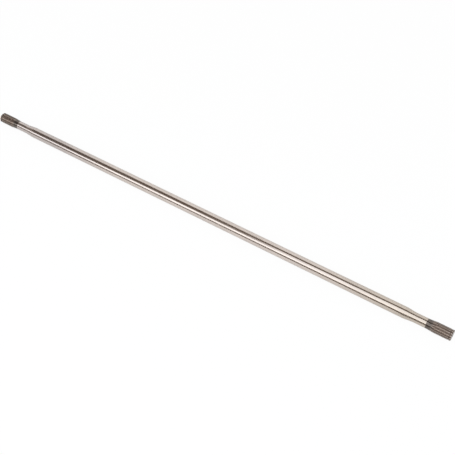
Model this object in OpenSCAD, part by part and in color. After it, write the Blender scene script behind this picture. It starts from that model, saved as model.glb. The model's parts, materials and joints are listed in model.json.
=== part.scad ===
// Splined axle, turned, hobbed and ground from one steel bar.
// Both ends are alike. The ground body tapers down to a plain neck, a cone leads from the
// neck up to the spline, and the hobbed tooth gaps run out into that cone. A groove for a
// retaining ring crosses the teeth near the tip, which is chamfered and has a lathe centre.
// The axle lies along X with its middle at the origin. Lengths are millimetres.

/* [Shaft] */
// Overall length between the two end faces
axle_length = 1220; // [500:1:2000]
// Diameter of the ground body
body_d = 25.4; // [23:0.1:40]
// Length of the taper from the body down to each neck
body_taper_length = 20; // [8:0.5:60]
// Diameter of the plain neck
neck_d = 21.4; // [19:0.1:23]
// Length of the plain neck
neck_length = 31; // [15:0.5:80]
// Radius of the fillet where the taper runs into the neck
neck_fillet_r = 60; // [10:1:120]

/* [Spline] */
// Number of teeth
spline_teeth = 14; // [12:1:24]
// Module, the pitch diameter divided by the number of teeth
spline_module = 1.5875; // [1.4:0.0125:2]
// Pressure angle of the involute flanks
spline_pressure_angle = 30; // [25:1:35]
// Gap in radius between a mating hub's tooth tips and the start of the root curve
spline_form_clearance = 0.05; // [0.02:0.01:0.2]
// Length over which the tooth gaps have their full depth
spline_length = 34.5; // [20:0.5:80]
// Length of full-diameter bar between the full-depth gaps and the cone
spline_land_length = 1.5; // [0.5:0.1:10]
// Length of the cone from the neck up to the spline
spline_cone_length = 17; // [8:0.5:40]
// Outer radius of the hob, which sets how the tooth gaps run out
hob_r = 38; // [20:1:60]

/* [Tips] */
// Chamfer of each tip, along and across the axle
tip_chamfer = 0.6; // [0.5:0.1:2.4]
// Distance from the end face to the nearer wall of the ring groove
groove_setback = 3.6; // [2.6:0.1:10]
// Width of the ring groove
groove_width = 2.2; // [0.8:0.1:3]
// Depth of the ring groove below the tooth tips
groove_depth = 0.6; // [0.4:0.1:1.8]

/* [Lathe centres] */
// Diameter of the cone's mouth at the end face
centre_mouth_d = 6.7; // [5:0.1:10]
// Diameter of the pilot hole
centre_pilot_d = 3.15; // [1.6:0.05:4]
// Length of the pilot hole's straight wall
centre_pilot_length = 2; // [1:0.1:6]

/* [Hidden] */
$fn = 96;
// Half the angle of a lathe centre's cone and of a drill's point
centre_half_angle = 30;
drill_half_angle = 59;
// How far a cutter reaches past the surface that it cuts
cutter_over = 0.8;
// Straight steps along each tooth flank, round each root curve and round each neck fillet
flank_steps = 5;
root_steps = 6;
fillet_steps = 6;
// Largest share of the neck or the taper that a neck fillet may take up
fillet_share = 0.9;

body_r = body_d / 2;
neck_r = neck_d / 2;
pitch_r = spline_module * spline_teeth / 2;
base_r = pitch_r * cos(spline_pressure_angle);
tooth_tip_r = spline_module * (spline_teeth + 1) / 2;
form_r = spline_module * (spline_teeth - 1) / 2 - spline_form_clearance;
groove_r = tooth_tip_r - groove_depth;
centre_mouth_r = centre_mouth_d / 2;
centre_pilot_r = centre_pilot_d / 2;

// Places along the axle, measured from its middle
end_z = axle_length / 2;
run_out_z = end_z - spline_length;
cone_top_z = run_out_z - spline_land_length;
cone_foot_z = cone_top_z - spline_cone_length;
taper_foot_z = cone_foot_z - neck_length;
body_z = taper_foot_z - body_taper_length;

// Fillet between the neck and the taper, tangent to both
taper_angle = atan((body_r - neck_r) / body_taper_length);
fillet_limit = fillet_share * min(neck_length, body_taper_length) / tan(abs(taper_angle) / 2);
fillet_r = sign(taper_angle) * min(neck_fillet_r, fillet_limit);
fillet_z = taper_foot_z + fillet_r * tan(taper_angle / 2);
neck_fillet = [
    for (i = [0 : fillet_steps])
        let (angle = taper_angle * (1 - i / fillet_steps))
        [neck_r + fillet_r * (1 - cos(angle)), fillet_z - fillet_r * sin(angle)]
];

// One half of the turned section, as radius and distance from the middle
half_section = concat(
    [[body_r, body_z]],
    neck_fillet,
    [
        [neck_r, cone_foot_z],
        [tooth_tip_r, cone_top_z],
        [tooth_tip_r, end_z - groove_setback - groove_width],
        [groove_r, end_z - groove_setback - groove_width],
        [groove_r, end_z - groove_setback],
        [tooth_tip_r, end_z - groove_setback],
        [tooth_tip_r, end_z - tip_chamfer],
        [tooth_tip_r - tip_chamfer, end_z],
        [0, end_z]
    ]
);

// Tooth gap: involute flanks above a root curve that is tangent to both
function involute(angle) = tan(angle) - angle * PI / 180;
function flank_angle(r) = acos(base_r / r);
function gap_half_angle(r) =
    90 / spline_teeth + (involute(flank_angle(r)) - involute(spline_pressure_angle)) * 180 / PI;
function flank_point(r) = r * [cos(gap_half_angle(r)), sin(gap_half_angle(r))];
function mirrored(points) = [for (i = [len(points) - 1 : -1 : 0]) [points[i].x, -points[i].y]];

form_point = flank_point(form_r);
form_slope = flank_angle(form_r) + gap_half_angle(form_r);
root_curve_r = form_point.y / cos(form_slope);
root_curve_x = form_point.x + form_point.y * tan(form_slope);
root_r = root_curve_x - root_curve_r;
gap_top_r = max(tooth_tip_r, neck_r) + cutter_over;

gap_flank = [
    for (i = [0 : flank_steps]) flank_point(form_r + (gap_top_r - form_r) * i / flank_steps)
];
gap_root = [
    for (i = [1 : root_steps - 1])
        let (angle = 270 - form_slope - (180 - 2 * form_slope) * i / root_steps)
        [root_curve_x, 0] + root_curve_r * [cos(angle), sin(angle)]
];
gap_outline = concat(gap_flank, mirrored(gap_flank), gap_root);

// The hob's axis crosses above the bar, and its arc ends where it has risen clear of the teeth
hob_axis_r = root_r + hob_r;
hob_sweep = acos((hob_axis_r - gap_top_r) / hob_r);

module both_ends() {
    children();
    mirror([0, 0, 1]) children();
}

// One gap between each tooth and the next, with a tooth straight down when the axle lies along X
module round_the_teeth() {
    for (i = [0 : spline_teeth - 1])
        rotate([0, 0, 360 * (i + 0.5) / spline_teeth])
            children();
}

module turned_bar() {
    rotate_extrude()
        polygon(concat(mirrored(half_section), half_section));
}

// Full-depth stretch of one tooth gap at the upper end
module straight_gap() {
    translate([0, 0, run_out_z])
        linear_extrude(height = spline_length + cutter_over)
            polygon(gap_outline);
}

// Arc on which the hob leaves that gap
module run_out() {
    translate([hob_axis_r, 0, run_out_z])
        rotate([90, 180, 0])
            rotate_extrude(angle = hob_sweep)
                polygon([for (p = gap_outline) [hob_axis_r - p.x, p.y]]);
}

// Lathe centre in the upper end face: a cone, a pilot hole and the drill's point
module lathe_centre() {
    cone_depth = (centre_mouth_r - centre_pilot_r) / tan(centre_half_angle);
    pilot_depth = cone_depth + centre_pilot_length;
    translate([0, 0, end_z])
        rotate_extrude()
            polygon([
                [0, cutter_over],
                [centre_mouth_r + cutter_over * tan(centre_half_angle), cutter_over],
                [centre_pilot_r, -cone_depth],
                [centre_pilot_r, -pilot_depth],
                [0, -pilot_depth - centre_pilot_r / tan(drill_half_angle)]
            ]);
}

module axle_shaft() {
    color("silver")
        rotate([0, 90, 0])
            difference() {
                difference() {
                    turned_bar();
                    both_ends() round_the_teeth() straight_gap();
                    both_ends() lathe_centre();
                }
                both_ends() round_the_teeth() run_out();
            }
}

axle_shaft();
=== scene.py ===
"""Looks of a splined steel axle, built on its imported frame, with the stage that shows it.

The file is laid out as a Blender add-on and is run as a script. The axle is one turned bar,
so it is one closed surface: a turned section carried round the axis, with the hobbed tooth
gaps pressed into it. All sizes are metres, and the axle lies along X with its middle at the
origin, as in the frame.
"""
import json
import math

import bmesh
import bpy
import numpy as np
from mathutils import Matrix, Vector


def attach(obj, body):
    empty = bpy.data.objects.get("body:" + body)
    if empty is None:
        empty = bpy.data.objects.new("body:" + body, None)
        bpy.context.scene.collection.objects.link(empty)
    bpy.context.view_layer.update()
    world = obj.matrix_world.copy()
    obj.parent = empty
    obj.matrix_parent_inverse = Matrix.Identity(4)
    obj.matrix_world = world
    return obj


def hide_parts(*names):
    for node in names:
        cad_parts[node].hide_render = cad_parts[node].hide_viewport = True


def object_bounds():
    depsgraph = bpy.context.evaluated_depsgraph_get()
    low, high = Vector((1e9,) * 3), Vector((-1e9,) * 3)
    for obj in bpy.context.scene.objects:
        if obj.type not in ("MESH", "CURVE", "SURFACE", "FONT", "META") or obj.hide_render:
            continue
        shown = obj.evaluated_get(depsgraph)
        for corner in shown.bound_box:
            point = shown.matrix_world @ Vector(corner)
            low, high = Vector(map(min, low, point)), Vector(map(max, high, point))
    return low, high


bl_info = {
    "name": "Splined axle",
    "version": (1, 0, 0),
    "blender": (4, 5, 0),
    "location": "View3D > Sidebar > Axle",
    "description": "Builds the looks of a splined steel axle on its packed frame, and its stage",
    "category": "Object",
}

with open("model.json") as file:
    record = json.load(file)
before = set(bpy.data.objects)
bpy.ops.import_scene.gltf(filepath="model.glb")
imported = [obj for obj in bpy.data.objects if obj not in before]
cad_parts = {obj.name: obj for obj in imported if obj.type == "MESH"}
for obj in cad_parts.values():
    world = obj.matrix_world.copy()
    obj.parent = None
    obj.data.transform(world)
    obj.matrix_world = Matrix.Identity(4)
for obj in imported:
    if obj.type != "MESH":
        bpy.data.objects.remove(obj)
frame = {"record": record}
CAD_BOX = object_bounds()
MOUNTS = {mount["name"]: mount for mount in frame["record"]["mounts"]}
BODY_DIMS = MOUNTS["shaft_body"]["dims"]
SPLINE_DIMS = MOUNTS["spline_right"]["dims"]
MM = 0.001

# Columns of the bar's surface: steps from the middle of a tooth gap out to the ring groove's
# radius, from there to the tooth's edge, and across the tooth tip. The edge break is one
# more step on either side of the tip.
ROOT_STEPS = 5
FLANK_STEPS = 3
TIP_STEPS = 6
GAP_STEPS = 2 * (ROOT_STEPS + FLANK_STEPS)
PITCH_COLUMNS = GAP_STEPS + TIP_STEPS + 2

# Rings of the bar's surface, from its middle to the bottom of a lathe centre
BODY_RINGS = 12
FILLET_RINGS = 9
CONE_RINGS = 5
RUN_OUT_RINGS = 30
SPLINE_RINGS = 5
CHAMFER_RINGS = 5
FACE_RINGS = 3
CENTRE_RINGS = 4
# Shares of the drill point's depth at which its rings stand
POINT_SHARES = np.array([0.0, 0.35, 0.7])
# Share of the gaps' root radius at which the plain part of an end face starts
PLAIN_FACE = 0.95
# Distance from a blunt corner to the ring that keeps its shading local
CORNER_HOLD = 0.5 * MM

# Points along an involute flank and along a gap's run-out, between which is interpolated
FLANK_POINTS = 240
RUN_OUT_POINTS = 400
# Times that a range is halved to find where a gap's outline meets a radius
HALVINGS = 48
# Points closer than this are one point
SAME_POINT = 0.001 * MM
# Half width that a gap keeps in the grid where it has run out to nothing, and the width that
# its edge breaks keep there
CLOSED_GAP = 0.1 * MM
CLOSED_BREAK = CLOSED_GAP / 8
# Depth from which a gap that runs out counts as a full one for the finish
FORMED_GAP = 1 * MM
# Edges that turn by more than this are shaded as sharp
SHARP_ANGLE = math.radians(24)

# Colour sockets of a Mix node, by their place among its sockets
MIX_FIRST = 6
MIX_SECOND = 7
MIX_RESULT = 2
# Ranges of the noise that are spread from 0 to 1, and how slowly the marks change round the axis
MARKS_SPAN = (0.25, 0.75)
PATCHES_SPAN = (0.3, 0.7)
ROUND_STRETCH = 0.012
# How far the bumps of the marks and of the coat's patches are carried into the shading
MARKS_STRENGTH = 0.25
PATCHES_STRENGTH = 0.2

# Where along X the steel's colour turns from the middle one to the end ones: a painted reflection
# falloff, lighter in the middle and darker towards either end
LEFT_PAINTED_FALLOFF = (-0.2, -0.45)
RIGHT_PAINTED_FALLOFF = (0.22, 0.55)
# Roughness of the steel's patches as a share of the plain one, and what the marks add to it
STEEL_PATCHES = (0.85, 1.2)
STEEL_MARKS = (-0.03, 0.03)
# Shares of a tooth's height below its tip: the worn tip, the start of the dull flank and the
# start of the brown root
TIP_RANGE = (0.0, 0.12)
FLANK_RANGE = (0.04, 0.35)
ROOT_RANGE = (0.45, 0.85)
# How far the coat's patches scale its wear, and the marks its roughness
WEAR_RANGE = (0.7, 1.0)
COAT_MARKS = (0.85, 1.15)

# The stage stands round the axle. Angles are degrees: 0 is level on the camera's side, and 90
# is straight up. A reach is from where to where along X.
LAMP_DISTANCE = 2.3
LAMP_RIGHT = 1.75
CARD_DISTANCE = 2.7
CARD_LEFT = -7.0
CARD_RIGHT = 3.0
FRONT_DISTANCE = 0.25
FRONT_LOW = (-2.9, -2.9)
FRONT_BEND = -0.22
FRONT_END = 0.538
NECK_DISTANCE = 0.07
# Each softbox: its name, which is also that of its radiance among the settings, its angles, its
# reach and the name of its colour
SOFTBOXES = (
    ("long_softbox", (10, 46), (-6.0, LAMP_RIGHT), "softbox_tint"),
    ("near_softbox", (46, 76), (-0.6, LAMP_RIGHT), "softbox_tint"),
    ("right_softbox", (50, 74), (-0.28, LAMP_RIGHT), "right_tint"),
    ("middle_softbox", (46, 55), (-1.45, -0.6), "softbox_tint"),
    ("upper_softbox", (76, 82), (0.02, LAMP_RIGHT), "softbox_tint"),
)
# Each card: its name, the angles of its lower and of its upper edge at the left and the right
# end, its distance and its reach
DARK_CARDS = (
    ("overhead_card", (6, 6), (56, 56), CARD_DISTANCE, (CARD_LEFT, CARD_RIGHT)),
    ("ceiling_card", (56, 56), (106, 106), CARD_DISTANCE, (CARD_LEFT, CARD_RIGHT)),
    ("end_card", (104, 104), (111, 111), CARD_DISTANCE, (0.04, CARD_RIGHT)),
    ("front_left_card", FRONT_LOW, (22, 17.5), FRONT_DISTANCE, (-1.0, FRONT_BEND)),
    ("front_right_card", FRONT_LOW, (17.0, 24.4), FRONT_DISTANCE, (FRONT_BEND, FRONT_END)),
    ("front_end_card", FRONT_LOW, (20, 20), FRONT_DISTANCE, (FRONT_END, 0.7)),
    ("neck_card", (-9.8, -9.8), FRONT_LOW, NECK_DISTANCE, (0.488, 0.548)),
)
FAR_CARD = ("far_card", (150, 150), (179.8, 179.8), CARD_DISTANCE, (CARD_LEFT, CARD_RIGHT))
# Where along X the dark cards turn paler, and where their left end starts
CARD_PALER = (-2.6, -0.7)
CARD_END = (-2.42, -2.5)


def length(name, description, default):
    """A property for a size in metres."""
    return bpy.props.FloatProperty(
        name=name, description=description, default=default, min=0.0, precision=5,
        subtype="DISTANCE", unit="LENGTH",
    )


def colour(name, description, default):
    """A property for a linear colour."""
    return bpy.props.FloatVectorProperty(
        name=name, description=description, default=default, min=0.0, max=1.0, size=3,
        subtype="COLOR",
    )


def share(name, description, default, top=1.0):
    """A property for a plain number from nothing up to its top."""
    return bpy.props.FloatProperty(
        name=name, description=description, default=default, min=0.0, max=top, precision=3,
    )


def radiance(name, description, default):
    """A property for the radiance of a lamp."""
    return share(name, description, default, top=10.0)


def turn(name, description, degrees):
    """A property for an angle, with its default given in degrees."""
    return bpy.props.FloatProperty(
        name=name, description=description, default=math.radians(degrees), subtype="ANGLE",
        unit="ROTATION",
    )


class AXLE_PG_bar(bpy.types.PropertyGroup):
    """Sizes of the turned and hobbed bar"""

    axle_length: length("Length", "Between the two end faces", CAD_BOX[1].x - CAD_BOX[0].x)
    body_radius: length("Body radius", "Radius of the ground body", BODY_DIMS["r_mm"] * MM)
    body_length: length("Body length", "Length of the ground body", BODY_DIMS["length_mm"] * MM)
    taper_length: length("Taper length", "From the body down to each neck", 20 * MM)
    neck_radius: length("Neck radius", "Radius of the plain neck", 10.7 * MM)
    neck_fillet: length("Neck fillet", "Radius where the taper runs into the neck", 60 * MM)
    teeth: bpy.props.IntProperty(
        name="Teeth", description="Number of spline teeth", default=SPLINE_DIMS["count"], min=6,
    )
    module: length("Module", "Pitch diameter divided by the number of teeth", 1.5875 * MM)
    pressure_angle: turn("Pressure angle", "Slope of the involute flanks at the pitch circle", 30)
    form_clearance: length("Form clearance", "From a hub's tooth tips to the root curve", 0.05 * MM)
    spline_length: length(
        "Spline length", "Length of the full-depth tooth gaps", SPLINE_DIMS["length_mm"] * MM
    )
    land_length: length("Land length", "From the full-depth gaps to the cone", 1.5 * MM)
    cone_length: length("Cone length", "From the neck up to the spline", 17 * MM)
    hob_radius: length("Hob radius", "Radius of the arc on which the gaps run out", 38 * MM)
    edge_break: length("Edge break", "Width of the broken edge along each tooth tip", 0.14 * MM)
    tip_chamfer: length("Tip chamfer", "Chamfer of each tip, along and across", 0.6 * MM)
    groove_setback: length("Groove setback", "From the end face to the ring groove", 3.6 * MM)
    groove_width: length("Groove width", "Width of the ring groove", 2.2 * MM)
    groove_depth: length("Groove depth", "Below the tooth tips", 0.6 * MM)
    centre_mouth: length("Centre mouth", "Radius of the lathe centre at the end face", 3.35 * MM)
    centre_pilot: length("Centre pilot", "Radius of the pilot hole", 1.575 * MM)
    pilot_length: length("Pilot length", "Straight wall of the pilot hole", 2 * MM)
    centre_slope: turn("Centre slope", "Half the angle of the lathe centre's cone", 30)
    drill_slope: turn("Drill slope", "Half the angle of the drill's point", 59)
    coat_length: length("Coated length", "From each end face to the edge of its dark coat", 56 * MM)


class AXLE_PG_finish(bpy.types.PropertyGroup):
    """Colours and surface of the ground steel and of the dark coat on the ends"""

    # Painted reflection falloff: the left and right steel colours are darker than the middle one,
    # standing in for how the reflected light falls off towards the ends
    steel: colour("Steel", "Ground steel at the middle", (0.672, 0.595, 0.542))
    steel_left_painted_falloff: colour("Left steel", "Ground steel towards the left end", (0.565, 0.503, 0.472))
    steel_right_painted_falloff: colour("Right steel", "Ground steel towards the right end", (0.594, 0.521, 0.446))
    steel_tone: share("Handling marks", "How much darker the handled patches are", 0.05)
    steel_patch: length("Handled patches", "Size of the handled patches", 45 * MM)
    steel_roughness: share("Steel roughness", "Roughness of the ground steel", 0.17)
    grind_pitch: length("Grinding pitch", "Spacing of the fine marks round the bar", 0.22 * MM)
    grind_depth: length("Grinding depth", "Depth of the fine marks round the bar", 0.002 * MM)
    coat: colour("Coat", "Dark coat on the turned surfaces of the ends", (0.155, 0.132, 0.114))
    coat_flank: colour("Flank coat", "Dull coat on the tooth flanks", (0.10, 0.078, 0.066))
    coat_brown: colour("Root coat", "Brown, dull coat in the roots of the gaps", (0.265, 0.189, 0.148))
    coat_cloud: colour("Coat clouds", "What the coat's cloudy patches tend to", (0.05, 0.04, 0.035))
    coat_worn: colour("Worn coat", "Coat rubbed thin on the tooth tips", (0.29, 0.231, 0.191))
    coat_lead: colour("Worn lead", "Coat rubbed off the tips beyond the groove", (0.43, 0.36, 0.312))
    # Painted shade: a darker colour for the ring groove, standing in for the shade inside it
    groove_painted_shade: colour("Groove coat", "Coat gathered in the ring groove", (0.11, 0.085, 0.07))
    coat_roughness: share("Coat roughness", "Roughness of the coat on turned surfaces", 0.06)
    gap_roughness: share("Gap roughness", "Roughness of the coat between the teeth", 0.34)
    coat_metal: share("Coat metal", "How metallic the coat is on the spline", 0.87)
    edge_metal: share("Edge metal", "How metallic the coat is at its edge on the neck", 0.95)
    gap_metal: share("Gap metal", "Share of that which is left between the teeth", 0.625)
    edge_thinness: share("Edge thinness", "How far the steel shows through the coat's edge", 0.1)
    thin_length: length("Thin length", "Length over which the coat's edge is thin", 7 * MM)
    bright_length: length("Bright length", "Length over which the coat's edge is brighter", 8 * MM)
    lead_length: length("Lead length", "Length over which the wear grows up to the lead", 10 * MM)
    mottle: share("Mottle", "How far the coat's patches tend to their clouds", 0.25)
    mottle_size: length("Mottle size", "Size of the coat's cloudy patches", 5 * MM)
    mottle_depth: length("Mottle depth", "Height of the coat's cloudy patches", 0.02 * MM)
    tool_pitch: length("Tool pitch", "Spacing of the turning marks under the coat", 0.35 * MM)
    tool_depth: length("Tool depth", "Depth of the turning marks under the coat", 0.004 * MM)


class AXLE_PG_stage(bpy.types.PropertyGroup):
    """Camera, lamps and floor"""

    azimuth: turn("Azimuth", "Where the camera stands round the axle", 33.197)
    elevation: turn("Elevation", "How far the camera stands above the horizon", 48.057)
    distance: length("Distance", "From the camera to the point it looks at", 1.8987)
    aim: bpy.props.FloatVectorProperty(
        name="Aim", description="Point that the camera looks at", default=(0.06952, 0.0, -0.0041),
        size=3, subtype="TRANSLATION", unit="LENGTH",
    )
    lens: bpy.props.FloatProperty(
        name="Lens", description="Focal length in millimetres on a 36 mm sensor", default=66.857,
        min=10.0,
    )
    floor_size: length("Floor size", "Side of the square floor", 40.0)
    floor_colour: colour("Floor", "Pale floor", (0.705, 0.705, 0.705))
    backdrop: share("Backdrop", "Share of plain white in what the camera sees of the floor", 0.95)
    mirrored: share("Mirrored floor", "Share of plain white in the floor's reflection", 0.3)
    surround: share("Surround", "Strength of the even light from all round", 1.0)
    long_softbox: radiance("Long softbox", "Radiance of the softbox along the axle", 1.66)
    near_softbox: radiance("Near softbox", "Radiance of the softbox over the right half", 1.1)
    right_softbox: radiance("Right softbox", "Radiance added towards the right end", 0.43)
    middle_softbox: radiance("Middle softbox", "Radiance of the softbox over the middle", 0.8)
    upper_softbox: radiance("Upper softbox", "Radiance of the strip above the right end", 1.6)
    softbox_tint: colour("Softbox tint", "Colour of the softboxes", (0.91, 0.955, 1.0))
    right_tint: colour("Right tint", "Colour of the light added to the right", (0.73, 0.83, 1.0))
    card_grey: colour("Grey card", "Low card on the far side", (0.8, 0.8, 0.8))
    card_dark: colour("Dark card", "Left part of the dark cards", (0.154, 0.126, 0.111))
    card_pale: colour("Paler card", "Right part of the dark cards", (0.178, 0.136, 0.110))
    card_end: colour("Card end", "Left end of the dark cards", (0.33, 0.28, 0.245))


def involute(angle):
    """The involute function: the tangent of an angle less the angle."""
    return np.tan(angle) - angle


class ToothGap:
    """Shape of one tooth gap, seen along the axis with the gap's middle line upwards.

    The flanks are involutes. At radius r a flank stands off the middle line by the angle
    pi / (2 N) + inv(acos(base / r)) - inv(pressure angle). Below the form radius both
    flanks run into one root curve, an arc that is tangent to them.
    """

    def __init__(self, bar):
        self.pitch = 2 * math.pi / bar.teeth
        self.tip = bar.module * (bar.teeth + 1) / 2
        base = bar.module * bar.teeth / 2 * math.cos(bar.pressure_angle)
        form = bar.module * (bar.teeth - 1) / 2 - bar.form_clearance
        radius = np.linspace(form, self.tip + bar.module / 2, FLANK_POINTS)
        slope = np.arccos(base / radius)
        stand_off = self.pitch / 4 + involute(slope) - involute(bar.pressure_angle)
        self.flank_height = radius * np.cos(stand_off)
        self.flank_side = radius * np.sin(stand_off)
        lean = slope[0] + stand_off[0]
        self.root_curve = self.flank_side[0] / math.cos(lean)
        self.root_middle = self.flank_height[0] + self.flank_side[0] * math.tan(lean)
        self.root = self.root_middle - self.root_curve
        self.hob_axis = self.root + bar.hob_radius

    def floor(self, side):
        """Height of the gap's outline at a distance to the side of its middle line."""
        side = np.abs(side)
        inside = np.maximum(self.root_curve**2 - side**2, 0.0)
        root = self.root_middle - np.sqrt(inside)
        flank = np.interp(side, self.flank_side, self.flank_height)
        return np.where(side < self.flank_side[0], root, flank)

    def lifted(self, side, past):
        """That height where the hob has gone a distance past the full-depth gap.

        A point of the outline turns about the hob's axis, so at a height h it lifts to
        axis - sqrt((axis - h)^2 - past^2).
        """
        reach = (self.hob_axis - self.floor(side)) ** 2 - past**2
        return self.hob_axis - np.sqrt(np.maximum(reach, 0.0))

    def half_width(self, edge_radius, past):
        """Distance to the side at which the lifted outline meets a radius, found by halving."""
        low = np.zeros_like(edge_radius)
        high = np.full_like(edge_radius, self.flank_side[-1])
        for _ in range(HALVINGS):
            middle = (low + high) / 2
            below = np.hypot(self.lifted(middle, past), middle) < edge_radius
            low = np.where(below, middle, low)
            high = np.where(below, high, middle)
        return low


def eased(count):
    """Shares from 0 to 1 that crowd together towards 1: 1 - (1 - u)^2."""
    return 1 - (1 - np.linspace(0.0, 1.0, count)) ** 2


def plain_run(places, radii):
    """A run of rings on which both radii are the same."""
    return places, radii, radii


def shank_runs(bar, cone_foot):
    """Rings of the body, the taper, its fillet and the neck.

    The fillet is an arc that is tangent to the taper and to the neck. Where its slope is a,
    it stands at x = place - R sin(a) and r = neck + R (1 - cos(a)).
    """
    body_end = bar.body_length / 2
    slope = math.atan((bar.body_radius - bar.neck_radius) / bar.taper_length)
    fillet_place = body_end + bar.taper_length + bar.neck_fillet * math.tan(slope / 2)
    arc = slope * np.linspace(1.0, 0.0, FILLET_RINGS)
    fillet_x = fillet_place - bar.neck_fillet * np.sin(arc)
    fillet_r = bar.neck_radius + bar.neck_fillet * (1 - np.cos(arc))
    body_x = np.append(np.linspace(0.0, body_end - CORNER_HOLD, BODY_RINGS), body_end)
    taper_x = np.array([body_end + CORNER_HOLD, (body_end + fillet_x[0]) / 2])
    taper_r = bar.body_radius - math.tan(slope) * (taper_x - body_end)
    coat_edge = bar.axle_length / 2 - bar.coat_length
    neck_x = np.sort([coat_edge, cone_foot - CORNER_HOLD, cone_foot])
    return (
        plain_run(body_x, bar.body_radius),
        plain_run(taper_x, taper_r),
        plain_run(fillet_x, fillet_r),
        plain_run(neck_x, bar.neck_radius),
    )


def spline_runs(bar, gap, cone_foot):
    """Rings of the cone and of the spline up to the ring groove.

    Where the tooth gaps run out, the rings crowd towards the place at which a gap's lifted
    root leaves the cone.
    """
    end = bar.axle_length / 2
    run_out = end - bar.spline_length
    cone_top = run_out - bar.land_length
    cone_rise = (gap.tip - bar.neck_radius) / bar.cone_length
    past = np.linspace(bar.land_length, bar.land_length + bar.cone_length, RUN_OUT_POINTS)
    cone_at = gap.tip - cone_rise * (past - bar.land_length)
    closed = np.interp(0.0, gap.lifted(0.0, past) - cone_at, past)
    run_out_x = np.unique(np.append(run_out - closed * eased(RUN_OUT_RINGS), cone_top))
    run_out_r = gap.tip - cone_rise * np.maximum(cone_top - run_out_x, 0.0)
    cone_x = np.linspace(cone_foot + CORNER_HOLD, run_out_x[0], CONE_RINGS, endpoint=False)
    cone_r = bar.neck_radius + cone_rise * (cone_x - cone_foot)
    groove_inner = end - bar.groove_setback - bar.groove_width
    spline_x = np.linspace(run_out, groove_inner, SPLINE_RINGS + 1)[1:]
    return (
        plain_run(cone_x, cone_r),
        plain_run(run_out_x, run_out_r),
        plain_run(spline_x, gap.tip),
    )


def tip_runs(bar, gap):
    """Rings of the ring groove, the lead beyond it, the chamfer and the end face's rim."""
    end = bar.axle_length / 2
    groove_outer = end - bar.groove_setback
    groove_x = np.array([groove_outer - bar.groove_width, groove_outer])
    fall = bar.tip_chamfer * np.linspace(0.0, 1.0, CHAMFER_RINGS)
    return (
        (groove_x, gap.tip, gap.tip - bar.groove_depth),
        plain_run(groove_outer, gap.tip),
        plain_run(end - bar.tip_chamfer + fall, gap.tip - fall),
        (end, gap.tip - bar.tip_chamfer, gap.root * PLAIN_FACE),
    )


def centre_runs(bar, gap):
    """Rings of the plain end face and of the lathe centre, and where its drill point ends."""
    end = bar.axle_length / 2
    face_r = np.linspace(gap.root * PLAIN_FACE, bar.centre_mouth, FACE_RINGS + 1)[1:]
    inwards = np.linspace(0.0, 1.0, CENTRE_RINGS)
    cone_depth = (bar.centre_mouth - bar.centre_pilot) / math.tan(bar.centre_slope)
    cone_r = bar.centre_mouth - (bar.centre_mouth - bar.centre_pilot) * inwards
    pilot_end = end - cone_depth - bar.pilot_length
    point_depth = bar.centre_pilot / math.tan(bar.drill_slope)
    runs = (
        plain_run(end, face_r),
        plain_run(end - cone_depth * inwards, cone_r),
        plain_run(pilot_end - point_depth * POINT_SHARES, bar.centre_pilot * (1 - POINT_SHARES)),
    )
    return runs, pilot_end - point_depth


def half_section(bar, gap):
    """Places along X and two radii of the rings on the right half, from the middle to the pole.

    The section is the turned outline: body, taper, fillet arc, neck, cone, spline, groove,
    chamfer, end face and lathe centre. The first radius sets where the teeth's edges are,
    and the second is what the lathe has left: they differ in the ring groove and on the rim
    of the end face.
    """
    cone_foot = bar.axle_length / 2 - bar.spline_length - bar.land_length - bar.cone_length
    centre, drill_end = centre_runs(bar, gap)
    runs = (
        *shank_runs(bar, cone_foot),
        *spline_runs(bar, gap, cone_foot),
        *tip_runs(bar, gap),
        *centre,
    )
    rings = [np.broadcast_arrays(*map(np.atleast_1d, run)) for run in runs]
    places, edges, radii = (np.concatenate(parts) for parts in zip(*rings))
    return places, edges, radii, drill_end


def gap_shares(bar, gap):
    """Shares of a gap's half width at which its columns stand, from one edge to the other.

    The steps are even up to the side where the flank meets the ring groove's radius, and
    even from there to the edge, so that the groove's rim falls on a column.
    """
    rims = np.array([gap.tip - bar.groove_depth, gap.tip - bar.edge_break])
    rim, edge = gap.half_width(rims, np.zeros(2))
    inner = np.linspace(0.0, rim / edge, ROOT_STEPS + 1)
    outer = np.linspace(rim / edge, 1.0, FLANK_STEPS + 1)[1:]
    half = np.concatenate([inner, outer])
    return np.concatenate([-half[:0:-1], half])


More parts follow.
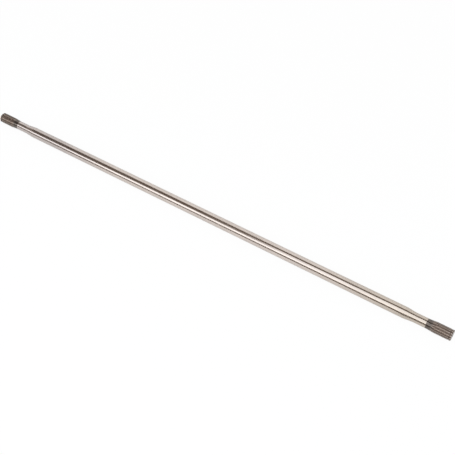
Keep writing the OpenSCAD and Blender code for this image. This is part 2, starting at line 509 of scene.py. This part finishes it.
def bar_surface(bar):
    """Points of the whole bar as a grid of rings by columns, and how each lies in the teeth.

    On a plain ring the columns are spaced evenly. On a toothed ring each pitch has the gap's
    columns, at fixed shares of its half width to either side, then the tooth tip's columns
    at even shares of the tip's arc. A gap column stands at hypot(lifted height, side), but
    never outside the turned section. A tooth stands straight up. Returns the grid, the two
    poles, the share of a tooth's height that each point lies below the turned section, how far
    the teeth are parted there, and where the ring groove's floor is.
    """
    gap = ToothGap(bar)
    half_x, half_edge, half_r, drill_end = half_section(bar, gap)
    place = np.concatenate([-half_x[:0:-1], half_x])[:, None]
    edge = np.concatenate([half_edge[:0:-1], half_edge])[:, None]
    turned = np.concatenate([half_r[:0:-1], half_r])[:, None]
    past = np.maximum(bar.axle_length / 2 - bar.spline_length - np.abs(place), 0.0)

    outside = np.abs(place) > bar.body_length / 2
    depth = edge - gap.lifted(0.0, past)
    toothed = outside & (depth > -SAME_POINT)
    broken = np.clip(depth / 2, 0.0, bar.edge_break)
    side = np.maximum(gap.half_width(edge - broken, past), CLOSED_GAP)
    gap_side = side * gap_shares(bar, gap)
    gap_height = gap.lifted(gap_side, past)
    gap_angle = np.arctan2(gap_side, gap_height)
    gap_radius = np.minimum(np.hypot(gap_height, gap_side), turned)
    tip_start = gap_angle[:, -1:] + np.maximum(broken, CLOSED_BREAK) / edge
    tip_share = np.linspace(0.0, 1.0, TIP_STEPS + 1)
    tip_angle = tip_start + (gap.pitch - 2 * tip_start) * tip_share
    tip_radius = np.broadcast_to(turned, tip_angle.shape)

    even = (np.arange(PITCH_COLUMNS) - GAP_STEPS / 2) * gap.pitch / PITCH_COLUMNS
    angle = np.where(toothed, np.hstack([gap_angle, tip_angle]), even)
    radius = np.where(toothed, np.hstack([gap_radius, tip_radius]), turned)
    around = (np.arange(bar.teeth)[:, None, None] + 0.5) * gap.pitch + angle
    around = around.transpose(1, 0, 2).reshape(len(place), -1)
    radius = np.tile(radius, bar.teeth)
    grid = np.stack([
        np.broadcast_to(place, radius.shape),
        radius * np.sin(around),
        radius * np.cos(around),
    ], axis=-1)
    poles = np.array([[-drill_end, 0.0, 0.0], [drill_end, 0.0, 0.0]])
    lost = np.clip((edge - radius) / (gap.tip - gap.root), 0.0, 1.0)
    parted = np.clip(depth / FORMED_GAP, 0.0, 1.0) * toothed
    cut_ring = (edge - turned > SAME_POINT) & (np.abs(place) < bar.axle_length / 2 - SAME_POINT)
    grooved = cut_ring & (radius > turned - SAME_POINT)
    return grid, poles, lost, np.broadcast_to(parted, radius.shape), grooved


def grid_faces(rings, columns):
    """Quads between neighbouring rings, closed round the bar, and a fan at either pole.

    The points are the grid row by row, then the left and the right pole.
    """
    ring = np.arange(rings - 1)[:, None] * columns
    column = np.arange(columns)[None, :]
    following = (column + 1) % columns
    quads = np.stack([
        ring + column,
        ring + columns + column,
        ring + columns + following,
        ring + following,
    ], axis=-1).reshape(-1, 4)
    left, right = rings * columns, rings * columns + 1
    last = (rings - 1) * columns
    first_fan = np.stack([np.full(columns, left), column[0], following[0]], axis=-1)
    last_fan = np.stack([last + column[0], np.full(columns, right), last + following[0]], axis=-1)
    return quads, np.concatenate([first_fan, last_fan])


def point_attribute(mesh, name, values):
    """Stores one number for each point, with nothing for the poles, for a material to read."""
    layer = mesh.attributes.new(name, "FLOAT", "POINT")
    with_poles = np.concatenate([values.ravel(), np.zeros(2)])
    layer.data.foreach_set("value", with_poles.astype(np.float32))


def merge_points(mesh):
    """Makes coincident points one, as on a groove's wall below the gap's floor."""
    work = bmesh.new()
    work.from_mesh(mesh)
    bmesh.ops.remove_doubles(work, verts=work.verts, dist=SAME_POINT)
    work.to_mesh(mesh)
    work.free()


def make_object(name, data):
    """Puts a mesh, a lamp or a camera into the scene as an object at the origin."""
    piece = bpy.data.objects.new(name, data)
    bpy.context.scene.collection.objects.link(piece)
    return piece


def add_node(tree, kind, **settings):
    """Adds one shader node. Settings are its own fields."""
    node = tree.nodes.new(kind)
    for field, value in settings.items():
        setattr(node, field, value)
    return node


def math_node(tree, operation, first, second=0.0):
    """A Math node on one or two inputs, each a socket or a number. Returns its output."""
    node = add_node(tree, "ShaderNodeMath", operation=operation)
    for socket, value in zip(node.inputs, (first, second)):
        if isinstance(value, bpy.types.NodeSocket):
            tree.links.new(value, socket)
        else:
            socket.default_value = value
    return node.outputs["Value"]


def product(tree, first, second):
    """Two inputs multiplied."""
    return math_node(tree, "MULTIPLY", first, second)


def ranged(tree, value, low, high, out_low=0.0, out_high=1.0):
    """A Map Range node with eased ends. Returns its output."""
    node = add_node(tree, "ShaderNodeMapRange", interpolation_type="SMOOTHSTEP")
    tree.links.new(value, node.inputs["Value"])
    node.inputs["From Min"].default_value = low
    node.inputs["From Max"].default_value = high
    node.inputs["To Min"].default_value = out_low
    node.inputs["To Max"].default_value = out_high
    return node.outputs["Result"]


def spread(tree, value, low, high):
    """Carries a value that goes from 0 to 1 over to another range, with eased ends."""
    return ranged(tree, value, 0.0, 1.0, low, high)


def mixed(tree, factor, first, second):
    """A colour Mix node between two inputs, each a socket or a colour. Returns its output."""
    node = add_node(tree, "ShaderNodeMix", data_type="RGBA")
    tree.links.new(factor, node.inputs["Factor"])
    for place, value in ((MIX_FIRST, first), (MIX_SECOND, second)):
        if isinstance(value, bpy.types.NodeSocket):
            tree.links.new(value, node.inputs[place])
        else:
            node.inputs[place].default_value = (*value, 1.0)
    return node.outputs[MIX_RESULT]


def attribute(tree, name):
    """A number that the mesh holds for each point."""
    return add_node(tree, "ShaderNodeAttribute", attribute_name=name).outputs["Fac"]


def along_axle(tree):
    """The object's own X coordinate."""
    place = add_node(tree, "ShaderNodeSeparateXYZ")
    coordinates = add_node(tree, "ShaderNodeTexCoord")
    tree.links.new(coordinates.outputs["Object"], place.inputs["Vector"])
    return place.outputs["X"]


def new_group(name, inputs, outputs):
    """A shader node group with named number or vector sockets. Returns it with its two ends."""
    group = bpy.data.node_groups.new(name, "ShaderNodeTree")
    for label, kind in inputs:
        group.interface.new_socket(label, in_out="INPUT", socket_type=kind)
    for label in outputs:
        group.interface.new_socket(label, in_out="OUTPUT", socket_type="NodeSocketFloat")
    return group, add_node(group, "NodeGroupInput"), add_node(group, "NodeGroupOutput")


def noise(tree, vector, size, detail, roughness):
    """A Noise Texture node whose features have the size that a socket gives. Returns its output."""
    node = add_node(tree, "ShaderNodeTexNoise")
    node.inputs["Detail"].default_value = detail
    node.inputs["Roughness"].default_value = roughness
    tree.links.new(vector, node.inputs["Vector"])
    tree.links.new(math_node(tree, "DIVIDE", 1.0, size), node.inputs["Scale"])
    return node.outputs["Fac"]


def turned_marks_group():
    """Fine marks that run round the bar and round its end faces, and cloudy patches.

    Marks: noise of X + sqrt(Y^2 + Z^2), which changes quickly along the bar and outwards on
    an end face, and only slowly round the axis. Patches: plain noise of the given size. Both
    go from 0 to 1.
    """
    group, start, finish = new_group(
        "Turned marks",
        (
            ("Vector", "NodeSocketVector"),
            ("Pitch", "NodeSocketFloat"),
            ("Patch Size", "NodeSocketFloat"),
        ),
        ("Marks", "Patches"),
    )
    place = start.outputs["Vector"]
    off_axis = add_node(group, "ShaderNodeVectorMath", operation="MULTIPLY")
    off_axis.inputs[1].default_value = (0.0, 1.0, 1.0)
    group.links.new(place, off_axis.inputs[0])
    radius = add_node(group, "ShaderNodeVectorMath", operation="LENGTH")
    group.links.new(off_axis.outputs["Vector"], radius.inputs[0])
    outwards = add_node(group, "ShaderNodeCombineXYZ")
    group.links.new(radius.outputs["Value"], outwards.inputs["X"])
    stretched = add_node(group, "ShaderNodeVectorMath", operation="MULTIPLY_ADD")
    stretched.inputs[1].default_value = (1.0, ROUND_STRETCH, ROUND_STRETCH)
    group.links.new(place, stretched.inputs[0])
    group.links.new(outwards.outputs["Vector"], stretched.inputs[2])
    slow_round = stretched.outputs["Vector"]
    marks = noise(group, slow_round, start.outputs["Pitch"], detail=2.0, roughness=0.6)
    patches = noise(group, place, start.outputs["Patch Size"], detail=4.0, roughness=0.55)
    group.links.new(ranged(group, marks, *MARKS_SPAN), finish.inputs["Marks"])
    group.links.new(ranged(group, patches, *PATCHES_SPAN), finish.inputs["Patches"])
    return group


def new_material(name):
    """A material with its shader. Returns it with its node tree and the shader."""
    material = bpy.data.materials.new(name)
    material.use_nodes = True
    tree = material.node_tree
    return material, tree, tree.nodes["Principled BSDF"]


def place_marks(tree, group, pitch, patch_size):
    """Places the marks group on Object coordinates with a material's own sizes."""
    node = add_node(tree, "ShaderNodeGroup", node_tree=group)
    coordinates = add_node(tree, "ShaderNodeTexCoord")
    tree.links.new(coordinates.outputs["Object"], node.inputs["Vector"])
    node.inputs["Pitch"].default_value = pitch
    node.inputs["Patch Size"].default_value = patch_size
    return node.outputs["Marks"], node.outputs["Patches"]


def bump(tree, shader, height, strength, distance):
    """Feeds a height to the shader's normal through a Bump node, on top of any bump before."""
    node = add_node(tree, "ShaderNodeBump")
    node.inputs["Strength"].default_value = strength
    node.inputs["Distance"].default_value = distance
    tree.links.new(height, node.inputs["Height"])
    if shader.inputs["Normal"].is_linked:
        tree.links.new(shader.inputs["Normal"].links[0].from_socket, node.inputs["Normal"])
    tree.links.new(node.outputs["Normal"], shader.inputs["Normal"])


def ground_steel(finish, group):
    """Ground steel: fine marks round the bar, with duller patches where it was handled, and its colour
    painted darker towards either end as a painted reflection falloff.
    """
    material, tree, shader = new_material("ground_steel")
    shader.inputs["Metallic"].default_value = 1.0
    marks, patches = place_marks(tree, group, finish.grind_pitch, finish.steel_patch)
    place = along_axle(tree)
    # Painted reflection falloff: the colour is mixed from the middle one to darker ones towards either
    # end
    tint = mixed(tree, ranged(tree, place, *LEFT_PAINTED_FALLOFF), finish.steel, finish.steel_left_painted_falloff)
    tint = mixed(tree, ranged(tree, place, *RIGHT_PAINTED_FALLOFF), tint, finish.steel_right_painted_falloff)
    handled = spread(tree, patches, 0.0, finish.steel_tone)
    tree.links.new(mixed(tree, handled, tint, (0.0, 0.0, 0.0)), shader.inputs["Base Color"])
    smoothest, roughest = (finish.steel_roughness * part for part in STEEL_PATCHES)
    rough = spread(tree, patches, smoothest, roughest)
    uneven = math_node(tree, "ADD", rough, spread(tree, marks, *STEEL_MARKS))
    tree.links.new(uneven, shader.inputs["Roughness"])
    bump(tree, shader, marks, MARKS_STRENGTH, finish.grind_depth)
    return material


def dark_coat(bar, finish, group):
    """Dark coat on the splined ends: glossy where turned, brown and dull between the teeth.

    It is thin at its edge on the neck, rubbed off the tooth tips, most of all beyond the
    ring groove, and painted darker in the groove as painted shade.
    """
    material, tree, shader = new_material("dark_coat")
    marks, patches = place_marks(tree, group, finish.tool_pitch, finish.mottle_size)
    lost = attribute(tree, "tooth_height_lost")
    teeth = attribute(tree, "toothed")
    on_tip = product(tree, ranged(tree, lost, *TIP_RANGE, 1.0, 0.0), teeth)
    in_gap = product(tree, ranged(tree, lost, *FLANK_RANGE), teeth)
    in_root = product(tree, ranged(tree, lost, *ROOT_RANGE), teeth)
    from_middle = math_node(tree, "ABSOLUTE", along_axle(tree))
    start = bar.axle_length / 2 - bar.coat_length
    lead = bar.axle_length / 2 - bar.groove_setback

    tint = mixed(tree, in_gap, finish.coat, finish.coat_flank)
    tint = mixed(tree, in_root, tint, finish.coat_brown)
    tint = mixed(tree, spread(tree, patches, finish.mottle, 0.0), tint, finish.coat_cloud)
    near_edge = ranged(tree, from_middle, start, start + finish.thin_length, finish.edge_thinness, 0.0)
    tint = mixed(tree, product(tree, near_edge, patches), tint, finish.steel_right_painted_falloff)
    on_lead = ranged(tree, from_middle, lead - finish.lead_length, lead)
    worn_tint = mixed(tree, on_lead, finish.coat_worn, finish.coat_lead)
    worn = product(tree, on_tip, spread(tree, patches, *WEAR_RANGE))
    tint = mixed(tree, worn, tint, worn_tint)
    # Painted shade: the ring groove's floor gets a darker colour for the shade inside the groove
    tint = mixed(tree, attribute(tree, "grooved"), tint, finish.groove_painted_shade)
    tree.links.new(tint, shader.inputs["Base Color"])

    bright_end = start + finish.bright_length
    metal = ranged(tree, from_middle, start, bright_end, finish.edge_metal, finish.coat_metal)
    dulled = product(tree, metal, spread(tree, in_gap, 1.0, finish.gap_metal))
    tree.links.new(dulled, shader.inputs["Metallic"])
    rough = spread(tree, in_gap, finish.coat_roughness, finish.gap_roughness)
    uneven = product(tree, rough, spread(tree, marks, *COAT_MARKS))
    tree.links.new(uneven, shader.inputs["Roughness"])
    bump(tree, shader, patches, PATCHES_STRENGTH, finish.mottle_depth)
    bump(tree, shader, marks, MARKS_STRENGTH, finish.tool_depth)
    return material


class AXLE_OT_bar(bpy.types.Operator):
    """Builds the bar's surface over the CAD shaft, with its steel and its coated ends"""

    bl_idname = "axle.bar"
    bl_label = "Build the bar"

    def execute(self, context):
        bar = context.scene.axle_bar
        finish = context.scene.axle_finish
        grid, poles, lost, toothed, grooved = bar_surface(bar)
        rings, columns = grid.shape[:2]
        quads, fans = grid_faces(rings, columns)
        points = np.concatenate([grid.reshape(-1, 3), poles])
        mesh = bpy.data.meshes.new("axle_bar")
        mesh.from_pydata(points.tolist(), [], quads.tolist() + fans.tolist())
        point_attribute(mesh, "tooth_height_lost", lost)
        point_attribute(mesh, "toothed", toothed)
        point_attribute(mesh, "grooved", grooved)

        coat_edge = bar.axle_length / 2 - bar.coat_length
        middles = np.abs(points[quads, 0]).mean(axis=1)
        coated = np.concatenate([middles > coat_edge, np.ones(len(fans), bool)])
        group = turned_marks_group()
        mesh.materials.append(ground_steel(finish, group))
        mesh.materials.append(dark_coat(bar, finish, group))
        mesh.polygons.foreach_set("material_index", coated.astype(np.int32))
        mesh.polygons.foreach_set("use_smooth", np.ones(len(coated), bool))
        merge_points(mesh)
        mesh.set_sharp_from_angle(angle=SHARP_ANGLE)
        mesh.update()
        if mesh.validate():
            raise RuntimeError("the bar's surface has faces that are not valid")
        piece = make_object("axle_bar", mesh)
        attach(piece, "root")
        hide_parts("axle_shaft")
        return {"FINISHED"}


def stage_sheet(name, corners, material):
    """A flat four-cornered stage sheet."""
    mesh = bpy.data.meshes.new(name)
    mesh.from_pydata(corners, [], [(0, 1, 2, 3)])
    mesh.materials.append(material)
    sheet = make_object(name, mesh)
    return sheet


def round_axle(turned, distance):
    """Y and Z of a point round the axle, at an angle and a distance from its axis."""
    angle = math.radians(turned)
    return -distance * math.cos(angle), distance * math.sin(angle)


def card(name, low, high, distance, reach, material):
    """A card along the axle that only reflections show.

    Low and high are the angles of its edges at its left and its right end.
    """
    lower = [(x, *round_axle(turned, distance)) for x, turned in zip(reach, low)]
    upper = [(x, *round_axle(turned, distance)) for x, turned in zip(reach, high)]
    sheet = stage_sheet(name, lower + upper[::-1], material)
    sheet.visible_camera = False
    sheet.visible_diffuse = False
    sheet.visible_shadow = False


def softbox(name, turned, reach, strength, tint):
    """A rectangular area lamp along the axle between two angles, facing it."""
    y0, z0 = round_axle(turned[0], LAMP_DISTANCE)
    y1, z1 = round_axle(turned[1], LAMP_DISTANCE)
    x_from, x_to = reach
    lamp = bpy.data.lights.new(name, "AREA")
    lamp.shape = "RECTANGLE"
    lamp.size = x_to - x_from
    lamp.size_y = math.hypot(y1 - y0, z1 - z0)
    lamp.color = tint
    lamp.energy = strength * math.pi * lamp.size * lamp.size_y
    holder = make_object(name, lamp)
    centre = Vector(((x_from + x_to) / 2, (y0 + y1) / 2, (z0 + z1) / 2))
    facing = Vector((0.0, centre.y, centre.z)).normalized()
    holder.location = centre
    holder.rotation_mode = "QUATERNION"
    holder.rotation_quaternion = facing.to_track_quat("Z", "Y")
    holder.visible_camera = False


def matt_material(name, roughness):
    """A material without a sheen. Returns it with its node tree and the shader."""
    material, tree, shader = new_material(name)
    shader.inputs["Roughness"].default_value = roughness
    shader.inputs["Specular IOR Level"].default_value = 0.0
    return material, tree, shader


def white_share(tree, stage):
    """How plainly white the floor is: most for the camera, less in reflections and through glass."""
    path = add_node(tree, "ShaderNodeLightPath")
    bent = math_node(tree, "MAXIMUM", path.outputs["Is Glossy Ray"], path.outputs["Is Transmission Ray"])
    shown = product(tree, path.outputs["Is Camera Ray"], stage.backdrop)
    return math_node(tree, "MAXIMUM", shown, product(tree, bent, stage.mirrored))


def floor_material(stage):
    """Pale floor, plain white where it is looked at, with a share kept for the shadow."""
    material, tree, shader = matt_material("pale_floor", roughness=0.9)
    shader.inputs["Base Color"].default_value = (*stage.floor_colour, 1.0)
    white = add_node(tree, "ShaderNodeEmission")
    mix = add_node(tree, "ShaderNodeMixShader")
    tree.links.new(white_share(tree, stage), mix.inputs[0])
    tree.links.new(shader.outputs["BSDF"], mix.inputs[1])
    tree.links.new(white.outputs["Emission"], mix.inputs[2])
    tree.links.new(mix.outputs["Shader"], tree.nodes["Material Output"].inputs["Surface"])
    return material


def dark_card_material(stage):
    """Dark matt card, paler towards the right and at its left end."""
    material, tree, shader = matt_material("dark_card", roughness=1.0)
    place = along_axle(tree)
    tint = mixed(tree, ranged(tree, place, *CARD_PALER), stage.card_dark, stage.card_pale)
    tint = mixed(tree, ranged(tree, place, *CARD_END), tint, stage.card_end)
    tree.links.new(tint, shader.inputs["Base Color"])
    return material


def grey_card_material(stage):
    """Pale grey matt card."""
    material, _, shader = matt_material("grey_card", roughness=1.0)
    shader.inputs["Base Color"].default_value = (*stage.card_grey, 1.0)
    return material


def studio_world(stage):
    """Even white light from all round."""
    world = bpy.data.worlds.new("studio")
    world.use_nodes = True
    backdrop = world.node_tree.nodes["Background"]
    backdrop.inputs["Color"].default_value = (1.0, 1.0, 1.0, 1.0)
    backdrop.inputs["Strength"].default_value = stage.surround
    bpy.context.scene.world = world


def studio_camera(stage):
    """Camera at the photograph's angle, aimed at a point near the axle's middle."""
    back = Vector((
        math.sin(stage.azimuth) * math.cos(stage.elevation),
        -math.cos(stage.azimuth) * math.cos(stage.elevation),
        math.sin(stage.elevation),
    ))
    data = bpy.data.cameras.new("camera")
    data.sensor_width = 36.0
    data.lens = stage.lens
    data.clip_start = 0.01
    data.clip_end = 200.0
    camera = make_object("camera", data)
    camera.location = Vector(stage.aim) + back * stage.distance
    camera.rotation_mode = "QUATERNION"
    camera.rotation_quaternion = (-back).to_track_quat("-Z", "Y")
    bpy.context.scene.camera = camera


class AXLE_OT_stage(bpy.types.Operator):
    """Makes the pale floor, the studio light and the camera"""

    bl_idname = "axle.stage"
    bl_label = "Build the stage"

    def execute(self, context):
        stage = context.scene.axle_stage
        level = -context.scene.axle_bar.body_radius
        half = stage.floor_size / 2
        corners = ((-half, -half), (half, -half), (half, half), (-half, half))
        stage_sheet("floor", [(*corner, level) for corner in corners], floor_material(stage))
        for name, turned, reach, tint in SOFTBOXES:
            softbox(name, turned, reach, getattr(stage, name), getattr(stage, tint))
        dark = dark_card_material(stage)
        for layout in DARK_CARDS:
            card(*layout, dark)
        card(*FAR_CARD, grey_card_material(stage))
        studio_world(stage)
        studio_camera(stage)
        context.scene.view_settings.view_transform = "Standard"
        return {"FINISHED"}


class AXLE_PT_panel(bpy.types.Panel):
    """Lists the axle's settings and the steps that build it"""

    bl_idname = "AXLE_PT_panel"
    bl_label = "Splined axle"
    bl_space_type = "VIEW_3D"
    bl_region_type = "UI"
    bl_category = "Axle"

    def draw(self, context):
        steps = (("axle_bar", "axle.bar"), ("axle_finish", None), ("axle_stage", "axle.stage"))
        for group, step in steps:
            settings = getattr(context.scene, group)
            box = self.layout.box()
            for name in settings.__annotations__:
                box.prop(settings, name)
            if step:
                box.operator(step)


CLASSES = (AXLE_PG_bar, AXLE_PG_finish, AXLE_PG_stage, AXLE_OT_bar, AXLE_OT_stage, AXLE_PT_panel)


def register():
    """Makes the classes and the scene's settings known to Blender."""
    for cls in CLASSES:
        bpy.utils.register_class(cls)
    bpy.types.Scene.axle_bar = bpy.props.PointerProperty(type=AXLE_PG_bar)
    bpy.types.Scene.axle_finish = bpy.props.PointerProperty(type=AXLE_PG_finish)
    bpy.types.Scene.axle_stage = bpy.props.PointerProperty(type=AXLE_PG_stage)


def unregister():
    """Takes the settings and the classes away again."""
    del bpy.types.Scene.axle_stage
    del bpy.types.Scene.axle_finish
    del bpy.types.Scene.axle_bar
    for cls in reversed(CLASSES):
        bpy.utils.unregister_class(cls)


def main():
    """Registers the classes, and builds the bar and the stage."""
    register()
    bpy.ops.axle.bar()
    bpy.ops.axle.stage()


if __name__ == "__main__":
    main()
